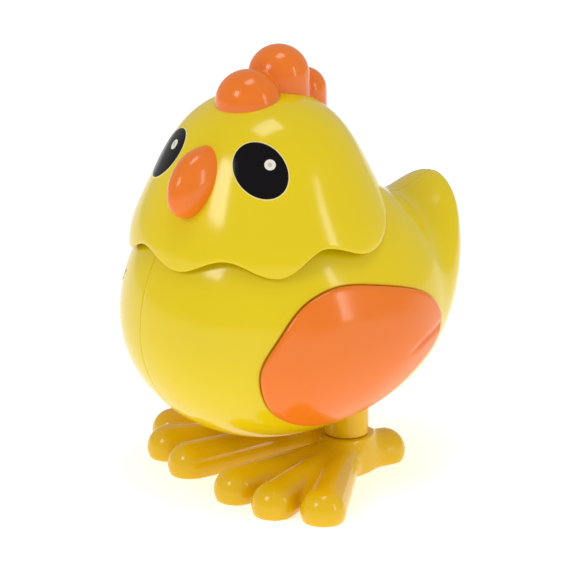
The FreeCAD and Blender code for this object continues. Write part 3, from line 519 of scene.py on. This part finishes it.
def edge_height(away):
    """Height of the cap's edge, a soft wave through its highest and lowest places."""
    away = np.degrees(np.abs((away + math.pi) % (2 * math.pi) - math.pi))
    height = np.full(away.shape, EDGE_TURNS[0][1])
    for (start, start_z), (end, end_z) in zip(EDGE_TURNS, EDGE_TURNS[1:]):
        share = (1 - np.cos(math.pi * (away - start) / (end - start))) / 2
        height = np.where((away > start) & (away <= end), start_z + (end_z - start_z) * share,
                          height)
    return height


def cap_wall(height):
    """The cap is thinner round its edge, where it passes the body."""
    return np.interp(height, (57.0, 64.0), (0.85, 1.2))


def make_cap(material):
    count = 336
    away = np.arange(count) * 2 * math.pi / count
    turn = away - math.pi / 2
    low = edge_height(away)
    ease = cap_wall(low) / 2
    shares = np.linspace(0, 1, len(CAP_CURVE))
    start = np.interp(low + ease, CAP_CURVE[:, 1], shares)
    rows = []

    def row(share, depth, drop=0.0):
        radius = np.interp(share, shares, CAP_CURVE[:, 0])
        height = np.interp(share, shares, CAP_CURVE[:, 1])
        rise = height - CAP_CENTRE_Z
        scale = 1 - depth * cap_wall(height) / np.hypot(radius, rise)
        radius, height = radius * scale, CAP_CENTRE_Z + rise * scale - drop
        rows.append(np.stack([radius * np.cos(turn), radius * np.sin(turn), height], -1))

    for s in np.linspace(0.992, 0, 76):
        row(start + (1 - start) * s, 0.0)
    for angle in np.linspace(0, math.pi, 9)[1:]:
        row(start, (1 - math.cos(angle)) / 2, ease * math.sin(angle))
    for s in (0.02, 0.05, *np.linspace(0.1, 0.992, 26)):
        row(start + (1 - start) * s, 1.0)
    cap = make_object("head_cap", head_place(rows), grid_faces(len(rows), count))
    dress(cap, "head", material, "yellow_shell", "head_shell")


def cap_depth(p):
    """Positive outside the cap's outer surface, in the head's own frame."""
    radius = np.interp(p[..., 2], CAP_CURVE[:, 1], CAP_CURVE[:, 0])
    flat = np.hypot(p[..., 0], p[..., 1]) - radius
    return np.where(p[..., 2] > CAP_TOP_Z, np.maximum(flat, p[..., 2] - CAP_TOP_Z), flat)


EYE_TURN, EYE_PITCH, EYE_LEAN = math.radians(37.5), math.radians(29), math.radians(37)
EYE_MID_RADIUS, EYE_Z = 21.2, 76.3
EYE_HALF = (6.75, 5.35)
# the glints are painted highlights, each put on its eye where that eye's highlight falls
GLINT_AT = {"left": (-0.25, -2.3), "right": (3.0, 0.0)}    # along and across the eye's oval
GLINT_RADIUS, GLINT_CENTRE_RADIUS = 1.2, 0.5


def eye_axes(side):
    outward = np.array([side * math.sin(EYE_TURN) * math.cos(EYE_PITCH),
                        -math.cos(EYE_TURN) * math.cos(EYE_PITCH), math.sin(EYE_PITCH)])
    level = np.array([-side * math.cos(EYE_TURN), -math.sin(EYE_TURN), 0])
    upright = np.cross(outward, level)
    upright = upright if upright[2] > 0 else -upright
    long_axis = upright * math.cos(EYE_LEAN) + level * math.sin(EYE_LEAN)
    short_axis = level * math.cos(EYE_LEAN) - upright * math.sin(EYE_LEAN)
    middle = np.array([side * EYE_MID_RADIUS * math.sin(EYE_TURN),
                       -EYE_MID_RADIUS * math.cos(EYE_TURN), EYE_Z])
    return middle, outward, long_axis, short_axis


def on_cap(side, u, v, lift):
    """A point above the cap, by its place (u along, v across) in the eye's own plane."""
    middle, outward, long_axis, short_axis = eye_axes(side)
    start = middle + u[..., None] * long_axis + v[..., None] * short_axis - outward * 8
    near, far = np.zeros(u.shape), np.full(u.shape, 16.0)
    for _ in range(30):
        half = (near + far) / 2
        low = cap_depth(start + outward * half[..., None]) < 0
        near, far = np.where(low, half, near), np.where(low, far, half)
    spot = start + outward * far[..., None]
    return spot + unit(slope(cap_depth, spot)) * np.asarray(lift)[..., None]


def oval_patch(name, side, middle, half, rows, turns=128):
    """A thin inlay on the cap; rows are (share of the oval, growth past it, lift above the cap)."""
    angle = np.arange(turns) * 2 * math.pi / turns
    points = []
    for share, grow, lift in rows:
        u = middle[0] + (half[0] * share + grow) * np.cos(angle)
        v = middle[1] + (half[1] * share + grow) * np.sin(angle)
        points.append(on_cap(side, u, v, np.full(turns, lift)))
    return make_object(name, head_place(points), grid_faces(len(rows), turns), 50)


def make_eyes(black, rim, white, tan):
    """Black ovals a hair above the cap, in a thin rim, each with a painted highlight: a light glint
    disc with a darker centre.
    """
    for side_name, side in SIDES.items():
        face = [(s, 0, 0.13) for s in np.linspace(0.03, 0.97, 22)]
        face += [(1, -0.02, 0.12), (1, 0.03, 0.07), (1, 0.03, -0.5), (0.5, 0, -0.5)]
        eye = oval_patch(f"{side_name}_eye_print", side, (0, 0), EYE_HALF, face)
        dress(eye, "head", black, "eye_black", f"{side_name}_eye")
        ring = [(1, -0.1, -0.4), (1, -0.1, 0.09), (1, 0.05, 0.10), (1, 0.22, 0.09), (1, 0.28, 0.02),
                (1, 0.28, -0.4)]
        edge = oval_patch(f"{side_name}_eye_rim", side, (0, 0), EYE_HALF, ring)
        dress(edge, "head", rim, "yellow_shell")
        # painted highlight: a light disc with a darker centre, lifted just above the eye's print
        place = GLINT_AT[side_name]
        dot = [(s, 0, 0.17) for s in (0.05, 0.5, 0.9)] + [(1, 0, 0.15), (1, 0, -0.2), (0.4, 0, -0.2)]
        glint = oval_patch(f"{side_name}_glint", side, place,
                           (GLINT_RADIUS, GLINT_RADIUS), dot, 48)
        dress(glint, "head", white, "eye_black")
        speck = [(s, 0, 0.21) for s in (0.1, 0.85)] + [(1, 0, 0.19), (1, 0, 0.0), (0.4, 0, 0.0)]
        centre = oval_patch(f"{side_name}_painted_highlight_centre", side, place,
                            (GLINT_CENTRE_RADIUS, GLINT_CENTRE_RADIUS), speck, 32)
        dress(centre, "head", tan, "eye_black")


# ---------------------------------------------------------------- comb and beak

# each lobe's place behind the neck's axis, its radius, top and foot
COMB_LOBES = [(-4.9, 7.2, 94.2, 79.0), (5.8, 6.8, 98.0, 79.0), (14.9, 5.0, 91.4, 75.0)]
LOBE_FLARE, LOBE_JOIN, COMB_SINK = 0.035, 0.7, 0.8
BEAK_BACK, BEAK_START, BEAK_LENGTH = 17.5, 20, 10.7    # distances ahead of the neck's axis
BEAK_Z, BEAK_HALF_WIDTH, BEAK_HALF_HEIGHT = 72.7, 4.9, 7.4
BEAK_DROOP = 0.0218         # the beak's middle line sinks by this, times its run squared
BEAK_POWER = 2.25


def comb_distance(p):
    """Three upright lobes with round tops and slightly flared sides."""
    total = None
    for back, radius, top, foot in COMB_LOBES:
        centre_z = top - radius
        rise = np.maximum(p[..., 2] - centre_z, 0)
        flare = 1 + LOBE_FLARE * np.clip((centre_z - p[..., 2]) / 10, 0, 1)
        lobe = np.sqrt(p[..., 0] ** 2 + (p[..., 1] - back) ** 2 + rise ** 2) - radius * flare
        lobe = np.maximum(lobe, foot - p[..., 2])
        total = lobe if total is None else join_soft(total, lobe, LOBE_JOIN)
    return np.maximum(total, -(cap_depth(p) + COMB_SINK))


def make_comb(material):
    points, faces = skin(comb_distance, (-8.4, -13, 74), (8.4, 21, 99), 0.34)
    comb = make_object("comb_lobes", head_place(points), faces, 60)
    dress(comb, "head", material, "orange_trim", "comb")


def make_beak(material):
    turns, rows = 96, []
    angle = np.arange(turns) * 2 * math.pi / turns

    def oval(ahead, size):
        z = BEAK_Z - BEAK_DROOP * max(ahead - BEAK_START, 0) ** 2
        rows.append(np.stack([BEAK_HALF_WIDTH * size * np.cos(angle), np.full(turns, -ahead),
                              z + BEAK_HALF_HEIGHT * size * np.sin(angle)], -1))

    oval(BEAK_BACK, 0.5)
    oval(BEAK_BACK, 1.0)
    for theta in np.linspace(0, 0.497 * math.pi, 44):
        oval(BEAK_START + BEAK_LENGTH * math.sin(theta) ** (2 / BEAK_POWER), math.cos(theta))
    beak = make_object("beak_cone", head_place(rows), grid_faces(len(rows), turns), 60)
    dress(beak, "head", material, "orange_trim", "beak")


# ---------------------------------------------------------------- legs

TOES = [(4.0, 36.3), (26.0, 37.6), (46.0, 37.4)]    # degrees outwards, length
TOE_ROOT_RADIUS, TOE_RADIUS, TOE_AXIS_Z = 3.8, 5.0, 2.3
TOE_ROOT_RISE = 1.6         # the toes start this much higher, at the ankle
HEEL_LENGTH, HEEL_ROOT_RADIUS, HEEL_RADIUS = 15.4, 4.4, 5.0
WEB_REACH, WEB_TOP = 26.5, 3.0
ANKLE_Z, COLLAR_RADIUS = 8.6, 5.3
SPIGOT_RADIUS, SPIGOT_RISE = 3.5, 3.0
SCREW_SEAT_RADIUS, SCREW_SEAT_DEPTH = 2.35, 2.4


def toe_ends(degrees, length, radius):
    turn = math.radians(degrees)
    ahead = np.array([math.sin(turn), -math.cos(turn), 0])
    ankle = np.array([ANKLE_X, ANKLE_Y, 0])
    root = ankle + [0, 0, TOE_AXIS_Z + TOE_ROOT_RISE]
    return root, ankle + ahead * (length - radius) + [0, 0, TOE_AXIS_Z]


def foot_distance(p):
    """Three toes and a heel, webs between the toes, and a collar on a flared mound."""
    total = None
    for degrees, length in TOES:
        start, tip = toe_ends(degrees, length, TOE_RADIUS)
        toe = limb(p, start, tip, TOE_ROOT_RADIUS, TOE_RADIUS)
        total = toe if total is None else join_soft(total, toe, 1.6)
    start, tip = toe_ends(180.0, HEEL_LENGTH, HEEL_RADIUS)
    total = join_soft(total, limb(p, start, tip, HEEL_ROOT_RADIUS, HEEL_RADIUS), 3.5)

    turns = np.arctan2(p[..., 0] - ANKLE_X, ANKLE_Y - p[..., 1])
    out = np.hypot(p[..., 0] - ANKLE_X, p[..., 1] - ANKLE_Y)
    low, high = math.radians(TOES[0][0]), math.radians(TOES[-1][0])
    beyond = np.maximum(np.maximum(low - turns, turns - high) * out, out - WEB_REACH)
    web = np.maximum(beyond, p[..., 2] - WEB_TOP)
    total = join_soft(total, web, 1.8)

    collar = np.maximum(out - COLLAR_RADIUS, p[..., 2] - ANKLE_Z)
    total = join_soft(total, collar, 4.2)
    total = np.maximum(total, p[..., 2] - ANKLE_Z)
    spigot = np.maximum(out - SPIGOT_RADIUS, p[..., 2] - ANKLE_Z - SPIGOT_RISE)
    total = np.minimum(total, spigot)
    seat = np.maximum(out - SCREW_SEAT_RADIUS, p[..., 2] - SCREW_SEAT_DEPTH)
    total = np.maximum(total, -seat)
    return np.maximum(total, -p[..., 2])


def make_feet(material):
    points, faces = skin(foot_distance, (0.5, -31, -1), (38, 28, 13), 0.42)
    points[:, 2] = np.maximum(points[:, 2], 0.0)
    for side_name, side in SIDES.items():
        foot = make_object(f"{side_name}_webbed_foot", mirrored(points, side), faces, 50)
        dress(foot, "legs", material, "yellow_legs", f"{side_name}_foot")


def make_tubes(material):
    """Round tubes that sit on the feet's spigots, with a narrow bore for the foot's screw."""
    low, top, radius, bore, ease = ANKLE_Z + 0.12, 26.0, 5.0, 3.6, 0.3
    screw_bore, step = 1.3, low + 5
    outline = [(bore, low), (radius - ease, low)]
    outline += [(radius - ease * (1 - math.sin(a)), low + ease * (1 - math.cos(a)))
                for a in quarter(5)[1:]]
    outline += [(radius, top - ease), (radius - ease, top), (screw_bore, top), (screw_bore, step),
                (bore, step)]
    for side_name, side in SIDES.items():
        tube = closed_lathe(f"{side_name}_leg", outline, 96, (side * ANKLE_X, ANKLE_Y, 0), (0, 0, 1))
        dress(tube, "legs", material, "yellow_legs", f"{side_name}_leg_tube")


# ---------------------------------------------------------------- winding knob

KNOB_Y = 30.0
HUB_RADIUS, HUB_LENGTH = 3.2, 3.4
BAR_REACH, BAR_RADIUS, BAR_MIDDLE, BAR_HALF_WIDTH, BAR_EASE = 5.0, 1.6, 4.7, 1.7, 0.6
KNOB_BORE_RADIUS, KNOB_BORE_DEPTH = 1.5, 2.5


def knob_distance(p):
    """A round hub and a rounded upright bar to hold."""
    x, y, z = p[..., 0], p[..., 1] - KNOB_Y, p[..., 2] - ARBOR_Z
    radial = np.hypot(x, z)
    hub = np.maximum(radial - HUB_RADIUS, np.maximum(-y, y - HUB_LENGTH))
    stretch = np.hypot(x, z - np.clip(z, -BAR_REACH, BAR_REACH)) - (BAR_RADIUS - BAR_EASE)
    edge = np.stack([stretch, np.abs(y - BAR_MIDDLE) - (BAR_HALF_WIDTH - BAR_EASE)], -1)
    bar = np.linalg.norm(np.maximum(edge, 0), axis=-1) + np.minimum(edge.max(-1), 0) - BAR_EASE
    whole = join_soft(hub, bar, 0.8)
    bore = np.maximum(radial - KNOB_BORE_RADIUS, y - KNOB_BORE_DEPTH)
    return np.maximum(whole, -bore)


def make_knob(material):
    points, faces = skin(knob_distance, (-4, KNOB_Y - 0.6, ARBOR_Z - 7.4),
                         (4, KNOB_Y + 7.2, ARBOR_Z + 7.4), 0.24)
    knob = make_object("knob_grip", points, faces, 45)
    dress(knob, "winder", material, "knob_plastic", "winding_knob")


# ---------------------------------------------------------------- finishes

def make_material(name, colour, second, roughness, metallic=0.0, shine=0.5, coat=0.0, glow=0.0):
    """A finish whose colour drifts softly between two tones and whose skin has a fine grain."""
    material = bpy.data.materials.new(name)
    material.use_nodes = True
    nodes, links = material.node_tree.nodes, material.node_tree.links
    nodes.clear()
    output = nodes.new("ShaderNodeOutputMaterial")
    surface = nodes.new("ShaderNodeBsdfPrincipled")
    surface.inputs["Roughness"].default_value = roughness
    surface.inputs["Metallic"].default_value = metallic
    surface.inputs["Specular IOR Level"].default_value = shine
    surface.inputs["Coat Weight"].default_value = coat
    surface.inputs["Coat Roughness"].default_value = 0.06
    surface.inputs["Emission Color"].default_value = (1, 1, 1, 1)
    surface.inputs["Emission Strength"].default_value = glow
    place = nodes.new("ShaderNodeTexCoord")
    drift = nodes.new("ShaderNodeTexNoise")
    drift.inputs["Scale"].default_value = 45.0
    drift.inputs["Detail"].default_value = 2.0
    mix = nodes.new("ShaderNodeMix")
    mix.data_type = "RGBA"
    mix.inputs[6].default_value = (*colour, 1)
    mix.inputs[7].default_value = (*second, 1)
    fine = nodes.new("ShaderNodeTexNoise")
    fine.inputs["Scale"].default_value = 420.0
    fine.inputs["Detail"].default_value = 3.0
    bump = nodes.new("ShaderNodeBump")
    bump.inputs["Strength"].default_value = 0.02
    bump.inputs["Distance"].default_value = 0.0002
    links.new(place.outputs["Object"], drift.inputs["Vector"])
    links.new(place.outputs["Object"], fine.inputs["Vector"])
    links.new(drift.outputs["Fac"], mix.inputs["Factor"])
    links.new(mix.outputs[2], surface.inputs["Base Color"])
    links.new(fine.outputs["Fac"], bump.inputs["Height"])
    links.new(bump.outputs["Normal"], surface.inputs["Normal"])
    links.new(surface.outputs["BSDF"], output.inputs["Surface"])
    return material


yellow = make_material("lemon_plastic", (0.80, 0.60, 0.003), (0.83, 0.63, 0.005), 0.16, shine=0.35,
                       coat=0.12)
leg_yellow = make_material("leg_plastic", (0.82, 0.50, 0.003), (0.85, 0.53, 0.004), 0.18, shine=0.35,
                           coat=0.1)
orange = make_material("orange_plastic", (0.88, 0.19, 0.012), (0.91, 0.21, 0.016), 0.18, shine=0.35,
                       coat=0.12)
black = make_material("eye_print", (0.004, 0.003, 0.004), (0.006, 0.005, 0.006), 0.14, shine=0.12)
rim = make_material("eye_rim", (0.86, 0.74, 0.22), (0.90, 0.78, 0.28), 0.3)
# painted highlight for the eyes' glints, and the darker colour of its centre
white = make_material("painted_highlight", (0.82, 0.79, 0.70), (0.86, 0.83, 0.75), 0.3)
tan = make_material("painted_highlight_centre", (0.62, 0.55, 0.42), (0.66, 0.59, 0.46), 0.3)
knob_plastic = make_material("knob_plastic", (0.76, 0.45, 0.003), (0.79, 0.48, 0.004), 0.25)
nylon = make_material("gear_nylon", (0.80, 0.79, 0.74), (0.86, 0.85, 0.80), 0.4)
steel = make_material("plated_steel", (0.60, 0.60, 0.61), (0.68, 0.68, 0.69), 0.3, metallic=1.0)

make_shells(yellow)
make_wings(orange)
make_cap(yellow)
make_eyes(black, rim, white, tan)
make_comb(orange)
make_beak(orange)
make_feet(leg_yellow)
make_tubes(leg_yellow)
make_knob(knob_plastic)

NYLON_NODES = {"great_wheel", "second_wheel", "third_wheel", "crank_pinion", "crank_disc",
               "leg_carrier", "hop_yoke", "neck_plate"}
for node_name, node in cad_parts.items():
    node.data.materials.clear()
    node.data.materials.append(nylon if node_name in NYLON_NODES else steel)


# ---------------------------------------------------------------- floor, lights, camera

def make_floor():
    """White paper that glows a little, so that it stays white under soft light."""
    mesh = bpy.data.meshes.new("studio_floor")
    half = 2.5
    mesh.from_pydata([(-half, -half, 0), (half, -half, 0), (half, half, 0), (-half, half, 0)], [],
                     [(0, 1, 2, 3)])
    floor = bpy.data.objects.new("studio_floor", mesh)
    bpy.context.scene.collection.objects.link(floor)
    mesh.materials.append(make_material("floor_paper", (0.86, 0.86, 0.86), (0.88, 0.88, 0.88), 0.9,
                                        shine=0.0, glow=0.55))


def add_softbox(name, place, target, width, height, power):
    light = bpy.data.lights.new(name, "AREA")
    light.shape = "RECTANGLE"
    light.size, light.size_y = width, height
    light.energy = power
    item = bpy.data.objects.new(name, light)
    bpy.context.scene.collection.objects.link(item)
    item.location = place
    item.rotation_euler = (Vector(target) - Vector(place)).to_track_quat("-Z", "Y").to_euler()


LOOK_AT = Vector((2.9, -4.2, 43.8)) * MM
CAMERA_AZIMUTH, CAMERA_ELEVATION = math.radians(56), math.radians(17)
CAMERA_DISTANCE, CAMERA_LENS, CAMERA_SENSOR = 0.6, 169, 36


def from_camera(right, up, toward):
    """A point by its distance to the camera's right, upwards and towards the camera, in metres."""
    ahead = Vector((math.sin(CAMERA_AZIMUTH), -math.cos(CAMERA_AZIMUTH), 0))
    side = Vector((math.cos(CAMERA_AZIMUTH), math.sin(CAMERA_AZIMUTH), 0))
    return side * right + Vector((0, 0, up)) + ahead * toward


make_floor()
add_softbox("key", from_camera(-0.55, 0.62, 0.50), (0, 0, 0.05), 0.24, 0.24, 1.5)
add_softbox("top", from_camera(0.05, 0.85, 0.05), (0, 0, 0.04), 0.34, 0.22, 1.2)
add_softbox("strip", from_camera(0.72, 0.30, 0.35), (0, 0, 0.05), 0.10, 0.45, 0.8)

world = bpy.data.worlds.new("studio")
world.use_nodes = True
world.node_tree.nodes["Background"].inputs["Color"].default_value = (1, 1, 1, 1)
world.node_tree.nodes["Background"].inputs["Strength"].default_value = 0.5
bpy.context.scene.world = world

camera_data = bpy.data.cameras.new("camera")
camera_data.lens = CAMERA_LENS
camera_data.sensor_width = CAMERA_SENSOR
camera = bpy.data.objects.new("camera", camera_data)
bpy.context.scene.collection.objects.link(camera)
aim = Vector((math.sin(CAMERA_AZIMUTH) * math.cos(CAMERA_ELEVATION),
              -math.cos(CAMERA_AZIMUTH) * math.cos(CAMERA_ELEVATION), math.sin(CAMERA_ELEVATION)))
camera.location = LOOK_AT + aim * CAMERA_DISTANCE
camera.rotation_euler = (-aim).to_track_quat("-Z", "Y").to_euler()
bpy.context.scene.camera = camera
bpy.context.scene.view_settings.view_transform = "Standard"
